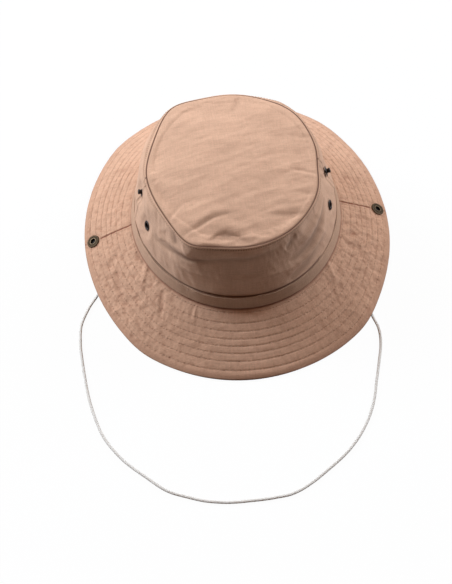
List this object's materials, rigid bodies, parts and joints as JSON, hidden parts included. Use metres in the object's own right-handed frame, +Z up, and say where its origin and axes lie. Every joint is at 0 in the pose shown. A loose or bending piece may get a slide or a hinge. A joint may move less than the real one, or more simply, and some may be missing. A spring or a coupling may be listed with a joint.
{
  "type": "boonie hat",
  "caption": "Wide-brim cloth sun hat with a round flat-topped crown, a stitched brim whose sides snap up to the crown, side vents and a chin cord.",
  "frame": {"origin": "centre of the head opening, dropped onto the plane the brim rests on", "axes": "+Z up through the crown, the front of the hat faces -Y, the wearer's left is +X"},
  "size_m": [0.2839, 0.4213, 0.0971],
  "materials": {
    "hat_cloth": "woven cotton twill, matt",
    "sweatband_cloth": "woven cotton, matt",
    "binding_tape": "woven tape, matt",
    "interlining": "non-woven stiffener, matt",
    "antique_brass": "antiqued, satin",
    "black_metal": "black lacquer, satin",
    "cord_cotton": "braided cotton, matt"
  },
  "bodies": {
    "hat": {"crown_top": "hat_cloth", "crown_wall_front": "hat_cloth", "crown_wall_back": "hat_cloth", "top_seam_binding": "binding_tape", "side_seam_bindings": "binding_tape", "hat_band": "hat_cloth", "sweatband": "sweatband_cloth", "brim_front_upper": "hat_cloth", "brim_front_interlining": "interlining", "brim_front_under": "hat_cloth", "brim_back_upper": "hat_cloth", "brim_back_interlining": "interlining", "brim_back_under": "hat_cloth", "left_snap_stud": "black_metal", "left_stud_rivet": "black_metal", "right_snap_stud": "black_metal", "right_stud_rivet": "black_metal", "vent_eyelets": "black_metal", "vent_washers": "black_metal", "left_cord_tab": "binding_tape", "right_cord_tab": "binding_tape"},
    "flap_left": {"left_flap_upper": "hat_cloth", "left_flap_interlining": "interlining", "left_flap_under": "hat_cloth", "left_snap_socket": "antique_brass", "left_socket_cap": "antique_brass"},
    "flap_right": {"right_flap_upper": "hat_cloth", "right_flap_interlining": "interlining", "right_flap_under": "hat_cloth", "right_snap_socket": "antique_brass", "right_socket_cap": "antique_brass"},
    "cord": {"chin_cord": "cord_cotton", "cord_end_knots": "cord_cotton"}
  },
  "joints": [
    {"name": "left_brim_fold", "type": "hinge", "parent": "hat", "child": "flap_left", "pos_m": [-0.09152, 0, 0.03265], "axis": [0, 1, 0], "range_deg": [0, 133.59]},
    {"name": "right_brim_fold", "type": "hinge", "parent": "hat", "child": "flap_right", "pos_m": [0.09152, 0, 0.03265], "axis": [0, -1, 0], "range_deg": [0, 133.59]},
    {"name": "chin_cord_swing", "type": "hinge", "parent": "hat", "child": "cord", "pos_m": [0, 0, 0.021], "axis": [1, 0, 0], "range_deg": [0, 120]}
  ]
}
